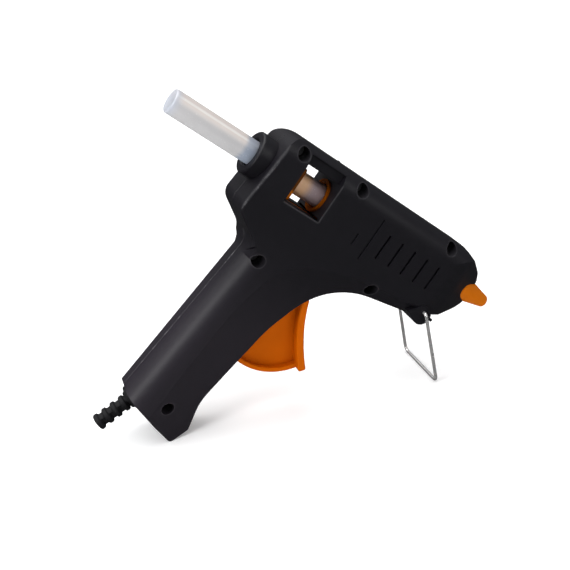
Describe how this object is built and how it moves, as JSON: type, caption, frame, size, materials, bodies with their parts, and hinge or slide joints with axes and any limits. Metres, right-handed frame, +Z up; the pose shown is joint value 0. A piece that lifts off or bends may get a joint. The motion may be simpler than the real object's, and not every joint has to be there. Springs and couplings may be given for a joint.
{
  "type": "hot glue gun",
  "caption": "Hand-held hot glue gun with a clamshell body, sprung trigger, sliding feed carriage, glue stick, heated nozzle and folding wire stand.",
  "frame": {"origin": "on the floor, under the middle of the bounding box, with the gun standing on its wire stand and on the front corner of the handle's foot", "axes": "+X forward towards the nozzle, +Y to the gun's left, +Z up"},
  "size_m": [0.2018, 0.0374, 0.1594],
  "materials": {
    "body_plastic": "satin black moulded plastic with a fine grain",
    "trigger_plastic": "deep orange moulded plastic",
    "feed_plastic": "orange moulded plastic",
    "stick_resin": "milky translucent hot-melt glue",
    "silicone": "orange silicone rubber",
    "relief_rubber": "matte black rubber",
    "stand_wire": "bright plated steel wire",
    "steel": "plain steel",
    "chamber_metal": "die-cast aluminium",
    "contact_brass": "turned and stamped brass",
    "ring_plastic": "brown phenolic",
    "film": "amber polyimide film",
    "pill_ceramic": "dark grey ceramic",
    "lead_sleeve": "white woven glass sleeving",
    "crimp_metal": "tinned crimp"
  },
  "bodies": {
    "housing": {"housing_right": "body_plastic", "housing_left": "body_plastic", "housing_screws": "steel", "trigger_pin": "steel", "return_spring": "steel", "melt_chamber": "chamber_metal", "inlet_sleeve": "silicone", "sleeve_clamp": "steel", "support_ring": "ring_plastic", "insulation_film": "film", "upper_electrode": "contact_brass", "lower_electrode": "contact_brass", "heater_pills": "pill_ceramic", "heater_wedge": "chamber_metal", "left_lead": "lead_sleeve", "right_lead": "lead_sleeve", "crimp_connectors": "crimp_metal", "nozzle": "contact_brass", "valve_spring": "steel", "nozzle_sleeve": "silicone", "strain_relief": "relief_rubber"},
    "trigger": {"trigger": "trigger_plastic"},
    "carriage": {"feed_carriage": "feed_plastic", "feed_pin": "steel", "dog_pin": "steel"},
    "dog": {"grip_dog": "steel"},
    "stick": {"glue_stick": "stick_resin"},
    "ball": {"check_ball": "steel"},
    "stand": {"wire_stand": "stand_wire"}
  },
  "joints": [
    {"name": "trigger_pivot", "type": "hinge", "parent": "housing", "child": "trigger", "pos_m": [0.00359, 0, 0.06489], "axis": [0, 1, 0], "range_deg": [0, 18], "stiffness_Nm_per_rad": 0.3, "springref_deg": -11.46, "deforming": ["return_spring"]},
    {"name": "feed_slide", "type": "slide", "parent": "housing", "child": "carriage", "axis": [0.7477, 0, -0.6641], "range_m": [0, 0.00796]},
    {"name": "dog_pivot", "type": "hinge", "parent": "carriage", "child": "dog", "pos_m": [-0.00639, 0, 0.10817], "axis": [0, 1, 0], "range_deg": [-12.1, 0]},
    {"name": "stick_slide", "type": "slide", "parent": "housing", "child": "stick", "axis": [0.7477, 0, -0.6641], "range_m": [-0.048, 0.024]},
    {"name": "check_ball_lift", "type": "slide", "parent": "housing", "child": "ball", "axis": [0.7477, 0, -0.6641], "range_m": [0, 0.0012], "stiffness_N_per_m": 40, "springref_m": -0.001, "deforming": ["valve_spring"]},
    {"name": "stand_fold", "type": "hinge", "parent": "housing", "child": "stand", "pos_m": [0.05972, 0, 0.03804], "axis": [0, 1, 0], "range_deg": [0, 115]}
  ],
  "couplings": [
    {"joint": "feed_slide", "follows": "trigger_pivot", "m_per_rad": 0.025006},
    {"joint": "dog_pivot", "follows": "trigger_pivot", "ratio": -0.66667}
  ]
}
